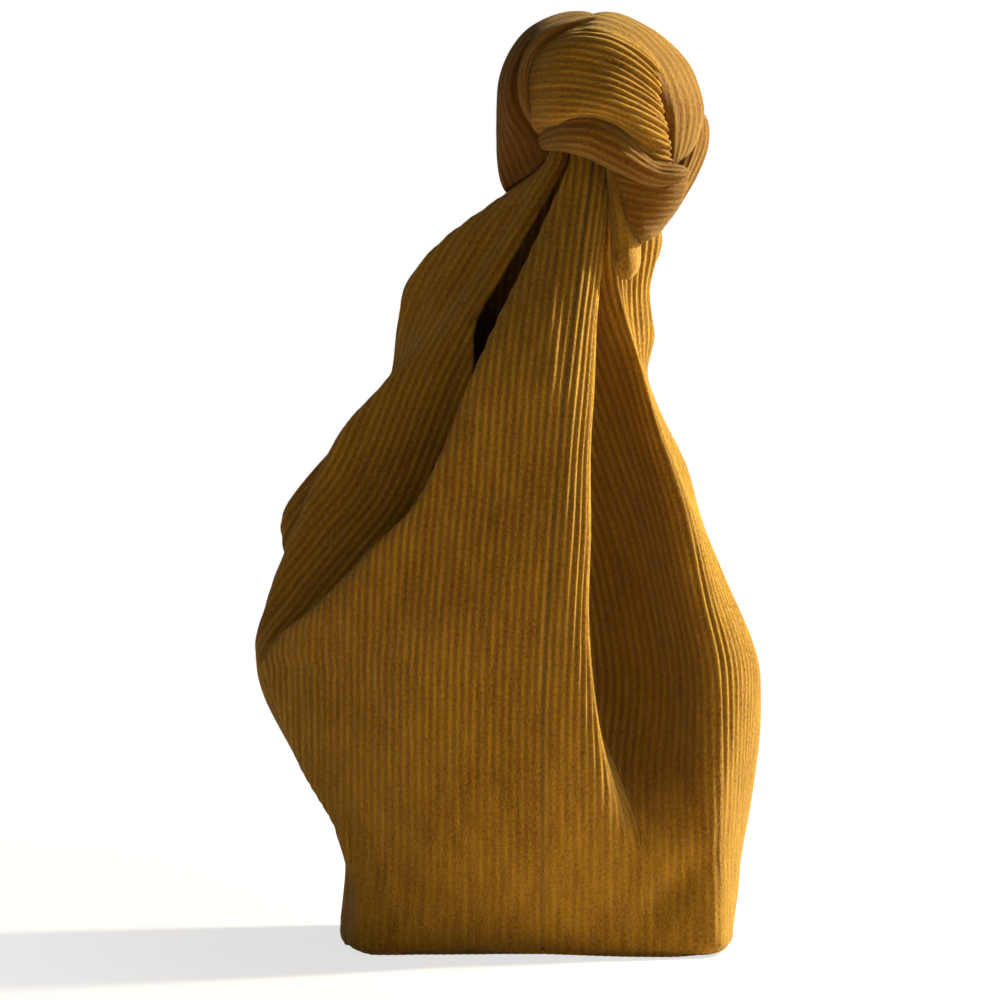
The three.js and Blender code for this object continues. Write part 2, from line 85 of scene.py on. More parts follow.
# Lines up the body, named as in the part's source: x and y at a height in percent of the body
RAILS = {
    "frontSeam": [(2, -HALF_D, 0), (2, -54, 14), (2, -60, 32), (5, -60, 50), (10, -54, 70), (16, -40, 86),
                  (22, -19.5, 100)],
    "frontLeft": [(-36, -HALF_D - 1, 0), (-38, -50, 14), (-54, -46, 34), (-46, -52, 42), (-30, -53, 52),
                  (-18, -52, 60), (-8, -50, 74), (3, -38, 86), (17, -19.5, 100)],
    "foldLeft": [(4 - HALF_W, -HALF_D, 0), (-70, -37, 9.6), (-77, -31, 14.4), (-94, -20, 23.4),
                 (-108, -10, 36.5), (-102, -16, 40), (-88, -30, 44), (-65, -41, 51.6), (-46, -45, 58.3),
                 (-25, -43.5, 74), (-8.5, -34, 85), (13, -18, 100)],
    "hemLeft": WING_FOOT + [(-97, -7, 40), (-80, -17, 44), (-54, -28, 51.6), (-34, -32, 58.3),
                            (-14, -31, 74), (-1, -23, 85), (16, -12, 100)],
    "wingInner": WING_FOOT + [(-98, -3, 40), (-80, -6, 44), (-52, -9, 51.6), (-34, -10, 58.3),
                              (-26, -9.5, 74), (-24.5, -9, 80), (-14.5, -9, 86), (11, -10, 100)],
    "wingMid": [(-3 - HALF_W, -15, 0), (-78, -12, 14.4), (-96, -5, 23.4), (-112, 1, 36.5), (-97, 1, 44),
                (-78, -1, 51.6), (-62, -4, 58.3), (-42, -6, 74), (-24, -6, 84), (7, -9, 100)],
    "wingRidge": [(-4 - HALF_W, 0, 0), (-78, 0, 14.4), (-96, 2, 23.4), (-112.5, 6, 37.5), (-109, 6, 43),
                  (-101, 7, 50), (-80, 4, 65), (-61, 1, 72.4), (-38, -2, 80), (-18, -4, 89),
                  (4, -6, 100)],
    "sideLeft": [(-4 - HALF_W, 18, 0), (-77, 18, 14.4), (-92, 18, 23), (-107, 18, 37), (-96, 17, 50),
                 (-73, 12, 65), (-58, 7, 72.4), (-47, 3, 80), (-30, 0, 89), (-12, -2, 95), (3, -2, 100)],
    "backRidgeLeft": [(-3 - HALF_W, 36, 0), (-77, 38, 14.4), (-90, 38, 23.4), (-105, 34, 37),
                      (-102, 30, 48), (-102.5, 27, 55), (-78, 20, 65), (-60, 15, 72.4), (-56, 12, 79),
                      (-53, 10, 84.6), (-38, 7, 90.4), (-16, 5, 95.5), (5, 4, 100)],
    "backLeft": [(-40, HALF_D + 1, 0), (-55, 53, 36), (-50, 43, 58), (-28, 31, 74), (-12, 21, 87),
                 (11, 10, 100)],
    "backSeam": [(0, HALF_D + 1, 0), (0, 53, 15), (0, 59, 35), (2, 51, 55), (8, 37, 74), (14, 24, 88),
                 (20, 12, 100)],
    "backRight": [(40, HALF_D + 1, 0), (49, 51, 36), (39, 41, 58), (31, 29, 74), (32, 18, 88),
                  (30, 10, 100)],
    "backRidgeRight": [(2 + HALF_W, 36, 0), (80, 38, 13), (83, 34, 25), (79, 28, 38), (66, 24, 51),
                       (61, 18, 61), (48, 14, 69.6), (44.5, 12, 73), (48, 10, 78), (46, 8, 84),
                       (51, 6, 91), (40, 3, 100)],
    "sideRight": [(3.5 + HALF_W, 0, 0), (82, 2, 10), (88, -2, 21), (90, -6, 34), (86, -8, 39.4),
                  (75, -6, 47.4), (62, -3, 57), (50, -4, 66.7), (42, -5, 75), (37, -6, 82.7),
                  (36.5, -7, 91), (37, -5, 100)],
    "cornerRight": [(HALF_W - 2, -HALF_D, 0), (73, -42, 11.5), (72.5, -40.5, 22), (71.8, -35.5, 36),
                    (66, -31.5, 45), (58.8, -26, 56), (48, -19.5, 66.7), (41, -15, 75), (33, -12, 84),
                    (31.5, -11.5, 91), (33, -10.5, 100)],
    "hollowRight": [(56, -HALF_D - 1, 0), (55, -45, 13), (53, -38, 21.8), (50, -26, 30), (45, -16, 40),
                    (40, -11, 51), (33, -9.5, 70), (27.5, -12.5, 87), (29, -13, 100)],
    "valleyRight": [(42, -HALF_D - 1, 0), (42, -46.5, 12), (37, -42.5, 19), (25.5, -27, 29),
                    (21, -17, 37), (20, -11, 50), (20.5, -9.5, 70), (22.5, -14, 90), (25.5, -14.5, 100)],
    "foldRight": [(36, -HALF_D - 1, 0), (35, -47.5, 12), (31, -50.5, 19), (24.5, -56, 29), (20, -58, 41),
                  (20, -54, 55), (21, -47, 68), (25, -34, 84.6), (28, -23, 94.5), (29.5, -18.5, 100)],
    "frontRight": [(20, -HALF_D - 1, 0), (20, -52, 14), (14, -61, 32), (12.5, -61, 50), (15, -53, 70),
                   (20, -40, 85), (25.5, -20, 100)],
}
# Panels: the rails each is drawn over with one steering rail at each end, the rail that its wales
# run along, and whether its first and its last edge are creased seams
PANELS = {
    "front_panel_left": (["frontRight", "frontSeam", "frontLeft", "foldLeft", "hemLeft", "wingMid"],
                         "frontSeam", (True, True)),
    "side_panel_left": (["foldLeft", "wingInner", "wingMid", "wingRidge", "sideLeft", "backRidgeLeft",
                         "backLeft"], "wingMid", (True, True)),
    "back_panel_left": (["sideLeft", "backRidgeLeft", "backLeft", "backSeam", "backRight"],
                        "backSeam", (True, True)),
    "back_panel_right": (["backLeft", "backSeam", "backRight", "backRidgeRight", "sideRight"],
                         "backSeam", (True, True)),
    "side_panel_right": (["backRight", "backRidgeRight", "sideRight", "cornerRight", "hollowRight"],
                         "cornerRight", (True, False)),
    "front_panel_right": (["sideRight", "cornerRight", "hollowRight", "valleyRight", "foldRight",
                           "frontRight", "frontSeam", "frontLeft"], "frontSeam", (False, True)),
}
# The right front panel's wales turn at the bottom of its hollow, so a second cloth takes over there:
# its name, the rail where the two meet and the rail that its wales run along
SPLIT = {"front_panel_right": ("right_hollow_cloth", "valleyRight", "cornerRight")}
# Where a cloth's grooves are deeper or shallower: the rail, by how much and how far from it
SHARPER = {
    "front_panel_right_cloth": ("foldRight", 0.8, 10),
    "right_hollow_cloth": ("cornerRight", 0.6, 12),
    "side_panel_right_cloth": ("cornerRight", 0.55, 16),
    "side_panel_left_cloth": ("wingRidge", -0.38, 16),
}
# The two cloths at the right corner lie half a wale aside, so that the corner is the top of a wale
PHASE = {"side_panel_right_cloth": 0.5 * PITCH, "right_hollow_cloth": 0.5 * PITCH}
# Rows of a panel, closer at the foot, and columns of its grid from rail to rail
HEIGHTS = np.concatenate([[0.3, 1.2, 2.6, 4.4], np.linspace(6.5, TOP, 132)])
SPAN = 18
# Every how many columns of a panel its lining has one
LINING_EVERY = 3
# Points of the base's cloth, across and deep, and of its outline from rail to rail
BASE_COLUMNS = 48
BASE_ROWS = 60
FOOT_STEPS = 10

# Strips of the knot, from the middle of the tie: lines along each strip, from one edge to the other
STRIPS = {
    "knot_crown": [
        [(-16, -4, 60.5), (-1, -14, 66), (12, -17, 64), (21, -19, 59), (29, -20.5, 52)],
        [(-23, -10, 55), (-7, -25, 58.5), (6, -27.5, 59), (17, -28, 55), (24.5, -27, 50),
         (30.5, -24.5, 44.5)],
        [(-27, -12, 45), (-13, -28, 46), (1, -32, 48), (13, -33, 46), (22, -31.5, 41.5),
         (30.8, -26.5, 36)],
        [(-27, -12, 36), (-14, -29.5, 36), (-3, -34.5, 39), (7, -36.5, 39.5), (16, -36, 37),
         (24.5, -33.5, 32.5), (32.5, -27.3, 27.5)],
        [(-25, -12, 27), (-13.5, -29, 27.5), (-4, -35.5, 30.5), (4, -38, 31), (12, -38.5, 29.5),
         (20, -37.5, 26.5), (27.5, -34, 23), (34.3, -27.8, 19.3)],
        [(-22, -11, 21), (-11, -24, 23.5), (-3, -29, 26), (4, -31, 26), (11, -32, 23.5), (17, -33, 19),
         (23, -33, 15), (29, -31.5, 12.5), (35, -27.8, 10.6)],
        [(-18, -10, 19), (-10, -18, 19), (-3, -22, 20), (4, -24, 19), (10, -25, 16), (16, -26, 11),
         (22, -27, 7), (28, -27, 4), (33, -25, 3)],
    ],
    "right_lobe": [
        [(-6, 14, 63), (10, 16, 65), (24, 15, 60), (33, 12, 53), (39, 9, 45), (42, 6, 36), (43, 3, 27),
         (42, -2, 19), (38, -6, 13)],
        [(-8, 2, 66.5), (9, 3, 70), (24, 3, 64.5), (33.5, 1, 57.5), (41, -1, 49), (45, -4, 39),
         (46.5, -7, 30), (44.5, -10, 21), (40, -13, 12)],
        [(-12, -5, 59), (6, -8, 69), (20, -10, 64), (30, -11, 56), (37, -12.5, 47), (41.5, -14, 37),
         (43, -15, 28), (42, -16.5, 20), (39, -17.5, 11)],
        [(-16, -8, 56.5), (2, -17, 65.5), (15, -19.5, 61.5), (25, -20.5, 54), (32, -21, 45),
         (36.5, -21, 35), (38.5, -20.5, 26), (38.5, -20.5, 18), (36.5, -20.5, 9.5)],
        [(-19, -9, 55.5), (-2, -22.5, 61), (11, -25, 58.5), (21, -26, 53), (26.5, -26.3, 45.5),
         (30.2, -25.5, 36), (32.6, -24.5, 26), (34, -24, 16), (34, -23.5, 7)],
        [(-21, -6, 51), (-3, -18, 56), (10, -20, 54), (18, -21, 48), (23, -21, 41), (26, -20, 33),
         (28, -20, 25), (29.5, -20.5, 15), (29.5, -21.5, 4)],
        [(-19, -2, 48), (-3, -12, 51), (8, -14, 49), (14, -14, 44), (18, -14, 38), (20, -13, 31),
         (21.5, -13, 24), (22.5, -14, 15), (22.5, -16, 5)],
    ],
    "crown_edge": [
        [(11, -6.5, 62), (5.5, -8, 68.6), (-5, -11, 67.6), (-14, -12, 64.3), (-21, -13, 60),
         (-25.5, -15, 54), (-27.5, -16, 47), (-28.5, -16, 41), (-27.5, -15, 34), (-24.5, -13, 27),
         (-19.5, -10, 20)],
        [(11, -10, 61), (5.5, -12, 67.8), (-5.5, -15, 66.5), (-13.5, -17, 63.3), (-19.5, -18, 59),
         (-23.5, -20, 53), (-25.5, -21, 47), (-26, -21, 40), (-25.5, -20, 34), (-22.5, -17, 28),
         (-18, -14, 22)],
        [(10.5, -12, 60), (5, -14, 66.6), (-5.5, -17, 64.8), (-12.5, -18, 61.3), (-18, -19, 57),
         (-22, -20, 52), (-23.5, -21, 46), (-23.5, -21, 40), (-23, -20, 34), (-20.5, -18, 28),
         (-16.5, -15, 22)],
    ],
    "left_roll": [
        [(6, -2, 68), (-5, -5, 65), (-13, -8, 62), (-19.5, -10, 58), (-24, -12, 52), (-26.5, -13, 45),
         (-27, -13, 38), (-23.5, -11, 30), (-18, -8, 23), (-15, -3, 15), (-13, 2, 8)],
        [(5, 4, 70), (-6.5, 1, 69), (-16, -2, 66), (-23.5, -5, 61), (-28.5, -7, 54), (-31.5, -9, 45),
         (-32, -10, 37), (-31, -9, 28), (-29.5, -5, 19), (-27, 1, 10), (-24, 6, 2)],
        [(4, 12, 71), (-9, 10, 70), (-17.5, 8, 67), (-25, 6, 62), (-31.5, 4, 53), (-35, 2, 43),
         (-35.8, 1, 32), (-35.8, 2, 22), (-35.5, 4, 13), (-34.5, 8, 4), (-32.5, 11, -4)],
        [(3, 22, 66), (-9, 22, 66), (-16.5, 22, 63), (-23.5, 21, 58), (-29, 20, 50), (-31.5, 19, 41),
         (-32, 18, 31), (-32.5, 18, 21), (-32.5, 18, 13), (-31, 18, 4), (-28, 17, -4)],
        [(3, 24, 56), (-8, 26, 55), (-14, 26, 52), (-19, 25, 48), (-23, 24, 43), (-25, 23, 37),
         (-25.5, 23, 30), (-25.5, 23, 22), (-25, 23, 14), (-22, 22, 7), (-17, 20, 1)],
    ],
    "wrap_band": [
        [(-19, -9, 23), (-15, -17, 28), (-9, -24, 32), (0, -27, 33), (8.5, -28, 30), (16.5, -28.5, 24),
         (21.5, -29, 18), (27, -29, 13), (33, -28, 11), (37.5, -25.5, 10.8)],
        [(-20.5, -11, 20.5), (-16, -21, 24.5), (-9, -29, 27), (0.5, -34, 27), (8.5, -35.5, 24),
         (16, -36, 18.5), (21.5, -35.5, 13.5), (27.5, -34, 9.5), (35, -32, 9), (41, -27.5, 8.8)],
        [(-21, -11, 18), (-16, -22, 20), (-8.5, -31, 20.5), (0.5, -36, 20), (8.5, -38, 17),
         (15.5, -38.5, 12.5), (21.5, -37.5, 8.5), (28, -36, 6), (35.5, -33.5, 6), (42.3, -28, 6.3)],
        [(-20, -11, 15.5), (-14.5, -21, 16.5), (-8, -29, 16), (0, -34, 14.5), (7, -36, 11),
         (14.5, -36.5, 7), (21.5, -35.5, 3.5), (28, -34, 2.5), (35, -32, 3), (41, -27.5, 4)],
        [(-18.5, -9, 13.5), (-13, -17, 13.5), (-8, -24, 12.5), (-0.5, -29, 10), (6.5, -30.5, 6.5),
         (14, -31.5, 3), (21.5, -31, 0), (28, -30, -1), (33, -28, 0.5), (37.5, -25.5, 2)],
    ],
    "band_flap": [
        [(9, -27, 12), (17, -29, 10), (25, -29.5, 8), (32.5, -28.5, 6), (41, -24, 6)],
        [(10.5, -28.5, 5), (18, -30.5, 3), (25.5, -30.5, 0.5), (32.5, -28.5, -1), (40, -24, -0.5)],
        [(12.7, -29, -2), (19.5, -30.5, -4), (25.5, -30, -6), (31.5, -27.5, -6.5), (37.5, -23.5, -6)],
        [(14.2, -29.5, -9), (20.5, -30.5, -11), (25, -29, -12), (29.5, -26.5, -12), (34.5, -22.5, -11)],
        [(16.4, -28.5, -16), (20.5, -29.5, -18), (24, -28, -18.5), (27, -25.5, -17.5),
         (31, -21.5, -15.5)],
        [(19, -27, -20.5), (21, -27.5, -22), (23.5, -25.5, -21.5), (25.5, -23.5, -20.5),
         (28.5, -20, -18.5)],
    ],
    "back_strap": [
        [(32, -7, 25), (31, -9, 18), (29, -10, 10.5), (26, -11, 3), (23, -10, -4), (20, -9, -10)],
        [(38, -5, 27), (37.5, -6, 20), (35.5, -7, 12), (32, -8, 4), (28, -8, -4), (24, -7, -11)],
        [(44, -4, 28), (43.5, -5, 21), (41.5, -6, 13), (38, -7, 5), (33, -7, -3), (28, -6, -12)],
        [(47, 0, 30), (47, -1, 22), (45, -2, 14), (41, -3, 4.5), (36.5, -4, -3.5), (31, -4, -13)],
        [(48, 4, 30), (49, 3, 22.5), (48, 2, 14.5), (44, 1, 4.5), (38.5, 0, -5), (32, -1, -15)],
        [(44, 9, 30), (45, 9, 22), (44, 8, 14), (40, 6, 5), (35, 4, -4), (29, 2, -13)],
    ],
    "back_band": [
        [(-26, 6, 22), (-20, 20, 24.5), (-5, 27, 25), (13, 27, 24), (30, 22, 21), (40, 9, 14)],
        [(-28, 7, 14), (-21, 22, 13), (-5, 30, 13), (13, 30, 12), (32, 24, 10), (42, 10, 7)],
        [(-26, 6, 8), (-20, 20, 5), (-5, 27, 4), (13, 27, 3), (30, 22, 3), (40, 9, 3)],
    ],
    "crown_back": [
        [(-17, 8, 60), (-6, 14, 66), (6, 17, 67), (18, 16, 63), (28, 14, 57), (36, 8, 48)],
        [(-24, 18, 46), (-10, 25, 49), (5, 28, 50), (20, 26, 47), (32, 20, 42), (40, 10, 36)],
        [(-24, 19, 24), (-10, 27, 24), (6, 30, 24), (22, 28, 22), (35, 20, 19), (42, 9, 17)],
    ],
}
# How thick each strip is where it is folded
FOLD = {"wrap_band": 7, "back_band": 6, "knot_crown": 8, "right_lobe": 5, "crown_edge": 4, "left_roll": 9,
        "crown_back": 8, "band_flap": 4, "back_strap": 5}
# Wales across a strip, where they aren't at the knot's pitch
WALES = {"right_lobe": 12}
# Strips whose grooves are shallower, and by how much
PLAINER = {"band_flap": 0.5}
# Ruffles at the crown's right end: their height and number
RUFFLE = 0.5
RUFFLES = 7
# Points of a strip along and across it, and from one given point to the next
ROWS = 96
COLUMNS = 84
STRIP_STEPS = 24

# Stuffed pieces: points round and along them, the core's share of its box and the rolled tail's middle line
AROUND = 97
CORE_ROWS = 48
NECK_ROWS = 30
TAIL_ROWS = 60
CORE_SHARE = 0.96
CORE_END = 0.04
NECK_FOLDS = 9
TAIL_LINE = [(12, -18, 10), (13, -19.5, 2), (14, -21.5, -8), (15, -23.5, -18), (15.2, -24.5, -26),
             (15, -25, -34.4)]
TAIL_STEPS = 12

# Below these, the length of a normal, a difference in wales and the root of a distance count as nothing
SHORTEST = 1e-9
SAME_WALE = 1e-6
SAME_PLACE = 1e-4


# Curves and grids
def smooth(x, low, high):
    """Soft step from 0 at low to 1 at high."""
    t = np.clip((x - low) / (high - low), 0, 1)
    return t * t * (3 - 2 * t)


def between(x, rise, fall):
    """1 between a soft rise and a soft fall, each from one place to another."""
    return smooth(x, *rise) * (1 - smooth(x, *fall))


def hump(x, width):
    """Soft bump of height 1 round 0."""
    return np.exp(-(x / width) ** 2)


def hermite(start, end, leave, arrive, t):
    """Cubic from start to end that leaves and arrives with the given slopes."""
    return (start * (1 + 2 * t) * (1 - t) ** 2 + end * t * t * (3 - 2 * t)
            + leave * t * (1 - t) ** 2 - arrive * t * t * (1 - t))


def rail(name, z):
    """Points of a rail at the heights z, drawn in towards the neck above the body."""
    drawn_in = 0.25
    p = np.array(RAILS[name], float)
    percent = np.minimum(z / HEIGHT * 100, 100)
    k = np.clip(np.searchsorted(p[:, 2], percent, side="right"), 1, len(p) - 1)
    i = np.arange(len(p))
    before, after = p[np.maximum(i - 1, 0)], p[np.minimum(i + 1, len(p) - 1)]
    slope = (after - before)[:, :2] / (after - before)[:, 2:]
    span = (p[k, 2] - p[k - 1, 2])[:, None]
    t = (percent[:, None] - p[k - 1, 2][:, None]) / span
    xy = hermite(p[k - 1, :2], p[k, :2], span * slope[k - 1], span * slope[k], t)
    over = np.maximum(z - HEIGHT, 0)[:, None] / (TOP - HEIGHT)
    xy = xy + (NECK[:2] - xy) * drawn_in * over
    return np.column_stack([xy, z])


def curve(points, steps, ends=False):
    """Centripetal curve along the first axis; its end points only steer it, unless ends is set."""
    p = np.asarray(points, float)
    if ends:
        p = np.concatenate([[2 * p[0] - p[1]], p, [2 * p[-1] - p[-2]]])
    out = []
    for k in range(1, len(p) - 2):
        p0, p1, p2, p3 = p[k - 1:k + 3]
        d0, d1, d2 = (np.linalg.norm(b - a, axis=-1, keepdims=True) ** 0.5
                      for a, b in ((p0, p1), (p1, p2), (p2, p3)))
        d1 = np.where(d1 < SAME_PLACE, 1, d1)
        d0 = np.where(d0 < SAME_PLACE, d1, d0)
        d2 = np.where(d2 < SAME_PLACE, d1, d2)
        leave = ((p1 - p0) / d0 - (p2 - p0) / (d0 + d1) + (p2 - p1) / d1) * d1
        arrive = ((p2 - p1) / d1 - (p3 - p1) / (d1 + d2) + (p3 - p2) / d2) * d1
        t = np.linspace(0, 1, steps + 1)[:None if k == len(p) - 3 else -1]
        out.append(hermite(p1, p2, leave, arrive, t.reshape((-1,) + (1,) * p1.ndim)))
    return np.concatenate(out)


def lengths(grid, axis):
    """Length of every line of a grid along one axis."""
    return np.linalg.norm(np.diff(grid, axis=axis), axis=-1).sum(axis)


def running(line):
    """Length along a line up to each of its points."""
    return np.concatenate([[0], np.cumsum(np.linalg.norm(np.diff(line, axis=0), axis=-1))])


def read_along(line, marks, at):
    """Points of a line with a mark at each point, read at other marks."""
    return np.column_stack([np.interp(at, marks, line[:, k]) for k in range(3)])


def evenly(line, count):
    """The same line with its points evenly spaced."""
    marks = running(line)
    return read_along(line, marks, np.linspace(0, marks[-1], count))


def unit(v):
    return v / np.maximum(np.linalg.norm(v, axis=-1, keepdims=True), SHORTEST)


def normals_of(grid):
    """Outward normals of a grid [across, along]."""
    return unit(np.cross(np.gradient(grid, axis=1), np.gradient(grid, axis=0)))


def distance_field(grid, start):
    """Distance across the cloth from the line grid[start], so that lines of equal distance run along it."""
    steepest = 0.9
    least_gain = 0.02
    least_step = 0.005
    u = np.zeros(grid.shape[:2])
    for step in (1, -1):
        c = start
        while 0 <= c + step < len(grid):
            across = grid[c + step] - grid[c]
            along = np.gradient((grid[c + step] + grid[c]) / 2, axis=0)
            # First fundamental form of the strip between the two lines
            e = (across ** 2).sum(1)
            f = (across * along).sum(1)
            g = (along ** 2).sum(1)
            limit = steepest * np.sqrt(g)
            rise = np.clip(np.gradient(np.abs(u[c])), -limit, limit)
            gain = (f * rise + np.sqrt(np.maximum(e * g - f * f, 0) * (g - rise ** 2))) / g
            new = np.abs(u[c]) + np.maximum(gain, least_gain)
            new[1:-1] = 0.5 * new[1:-1] + 0.25 * (new[:-2] + new[2:])
            u[c + step] = step * np.maximum(new, np.abs(u[c]) + least_step)
            c += step
    return u


# Sheets
def build(name, points, uv, faces, flats, material):
    """A mesh from points in millimetres, faces, whether each face is flat, and one uv for each point."""
    mesh = bpy.data.meshes.new(name)
    mesh.from_pydata((np.asarray(points) * MM).tolist(), [], faces)
    mesh.polygons.foreach_set("use_smooth", np.logical_not(flats))
    layer = mesh.uv_layers.new(name="Cloth")
    loops = np.zeros(len(mesh.loops), np.int32)
    mesh.loops.foreach_get("vertex_index", loops)
    layer.data.foreach_set("uv", np.asarray(uv, np.float32)[loops].ravel())
    mesh.materials.append(material)
    mesh.validate()
    mesh.update()
    piece = bpy.data.objects.new(name, mesh)
    scene.collection.objects.link(piece)
    return piece


def sheet_faces(outer, inner, every):
    """Faces of a closed sheet from point numbers [across, along]; the inner has one column in every."""
    faces, flats = [], []

    def keep(corners, flat):
        kept = [a for a, b in zip(corners, corners[1:] + corners[:1]) if a != b]
        if len(set(kept)) == len(kept) > 2:
            faces.append(kept)
            flats.append(flat)

    for side, turn in ((outer, 1), (inner, -1)):
        quads = np.stack([side[:-1, :-1], side[:-1, 1:], side[1:, 1:], side[1:, :-1]], -1)
        for corners in quads.reshape(-1, 4).tolist():
            keep(corners[::turn], False)
    for j in range(outer.shape[1] - 1):
        for i, turn in ((0, 1), (-1, -1)):
            keep([outer[i, j], inner[i, j], inner[i, j + 1], outer[i, j + 1]][::turn], True)
    for k in range(len(inner) - 1):
        run = range(every * k, every * k + every + 1)
        for j, turn in ((0, 1), (-1, -1)):
            keep(([outer[i, j] for i in run] + [inner[k + 1, j], inner[k, j]])[::turn], True)
    return faces, flats


def rib(wales):
    """Height of the pile across the wales, 0 in a groove and 1 on top."""
    return (0.5 - 0.5 * np.cos(2 * math.pi * wales)) ** RIB_ROUND


def on_wales(at, wales, values):
    """Values on a grid whose points lie at the given wales, read at other wales, row by row."""
    if values.ndim == 3:
        return np.stack([on_wales(at, wales, values[..., k]) for k in range(3)], -1)
    rows = range(at.shape[1])
    return np.stack([np.interp(at[:, j], wales[:, j], values[:, j]) for j in rows], -1)


def numbered(marks, wales, first):
    """Numbers of the points at each mark and row; marks beyond an edge share the edge's point."""
    count, rows = len(marks), wales.shape[1]
    number = first + np.arange(count * rows).reshape(count, rows)
    low = marks[:, None] <= wales[0] + SAME_WALE
    high = marks[:, None] >= wales[-1] - SAME_WALE
    lead = np.where(low, low.sum(0) - 1, np.arange(count)[:, None])
    lead = np.where(high, count - high.sum(0), lead)
    return number[lead, np.arange(rows)]


def ribbed(name, grid, u, along, back, material, ribs=RIB, seams=(False, False)):
    """A closed sheet of corduroy whose wales follow the distances u, its other face on the grid back."""
    wales = u / PITCH
    first, last = math.floor(wales.min() - 0.5), math.ceil(wales.max() + 0.5)
    marks = np.append((np.arange(first, last)[:, None] + WALE).ravel(), last)
    at = np.clip(marks[:, None], wales[0], wales[-1])
    depth = on_wales(at, wales, ribs * np.ones(u.shape)) * (1 - rib(at))
    for seam, off in zip(seams, (at - wales[0], wales[-1] - at)):
        depth = depth + seam * hump(off * PITCH, CREASE)
    skin = unit(on_wales(at, wales, normals_of(grid)))
    outer = on_wales(at, wales, grid) - skin * depth[..., None]
    every = len(WALE)
    inner = on_wales(at, wales, back)[::every]
    faces, flats = sheet_faces(numbered(marks, wales, 0), numbered(marks[::every], wales, at.size), every)
    uv = np.stack([at, np.broadcast_to(along / PITCH, at.shape)], -1)
    uv = np.concatenate([uv.reshape(-1, 2), uv[::every].reshape(-1, 2)])
    points = np.concatenate([outer.reshape(-1, 3), inner.reshape(-1, 3)])
    used = np.unique([i for face in faces for i in face])
    renumber = np.zeros(len(points), int)
    renumber[used] = np.arange(len(used))
    faces = [renumber[face].tolist() for face in faces]
    return build(name, points[used], uv[used], faces, flats, material)


# Looks

# Noise over the cloth: scale across the wales and along them, detail, roughness and contrast
NAP = (0.11, 0.06, 3.0, 0.55, 2.0)
STREAK = (1.1, 0.16, 2.0, 0.55, 2.0)
FIBRE = (4.0, 2.2, 3.0, 0.8, 3.4)
# How steep the pile's tops stand out from their grooves, partly painted light and shade, and the height at
# which the tone stays as it is
PILE_TOP = 1.6
PILE_MEAN = 0.6
# Up to this height in millimetres the wales stand out less from their grooves, least at the foot
FADE_HEIGHT = 120.0
# Wales beside the corner that stay in the light, from none to all of the hollow's painted shade
SPARED = (1.0, 4.5)
SHEEN_TINT = (1.0, 0.84, 0.36, 1)


def new_look(name):
    material = bpy.data.materials.new(name)
    material.use_nodes = True
    tree = material.node_tree
    tree.nodes.clear()
    return material, tree


def new_node(tree, kind, inputs=None, **settings):
    node = tree.nodes.new(kind)
    for key, value in settings.items():
        setattr(node, key, value)
    for key, value in (inputs or {}).items():
        if isinstance(value, bpy.types.NodeSocket):
            tree.links.new(value, node.inputs[key])
        else:
            node.inputs[key].default_value = value
    return node


def maths(tree, operation, a, b=None, clamp=False):
    values = {0: a} if b is None else {0: a, 1: b}
    return new_node(tree, "ShaderNodeMath", values, operation=operation, use_clamp=clamp).outputs[0]


def weighted(tree, *terms):
    """Sum of values, each times its weight."""
    total = None
    for value, weight in terms:
        term = maths(tree, "MULTIPLY", value, weight)
        total = term if total is None else maths(tree, "ADD", total, term)
    return total


def ranged(tree, value, low, high, to_low=0.0, to_high=1.0, kind="LINEAR"):
    """A value that goes from to_low, where it was low, to to_high, where it was high."""
    inputs = {"Value": value, "From Min": low, "From Max": high, "To Min": to_low, "To Max": to_high}
    return new_node(tree, "ShaderNodeMapRange", inputs, interpolation_type=kind).outputs[0]


def mixed(tree, share, a, b):
    return new_node(tree, "ShaderNodeMix", {0: share, 6: a, 7: b}, data_type="RGBA").outputs[2]


def noise(tree, uv, across, along, detail, roughness, contrast):
    """Noise stretched along the wales, spread about its middle."""
    place = new_node(tree, "ShaderNodeMapping", {"Vector": uv, "Scale": (across, along, 1)}).outputs[0]
    inputs = {"Vector": place, "Scale": 1.0, "Detail": detail, "Roughness": roughness}
    value = new_node(tree, "ShaderNodeTexNoise", inputs, noise_dimensions="2D").outputs[0]
    off = maths(tree, "MULTIPLY", maths(tree, "SUBTRACT", value, 0.5), contrast)
    return maths(tree, "ADD", off, 0.5, clamp=True)


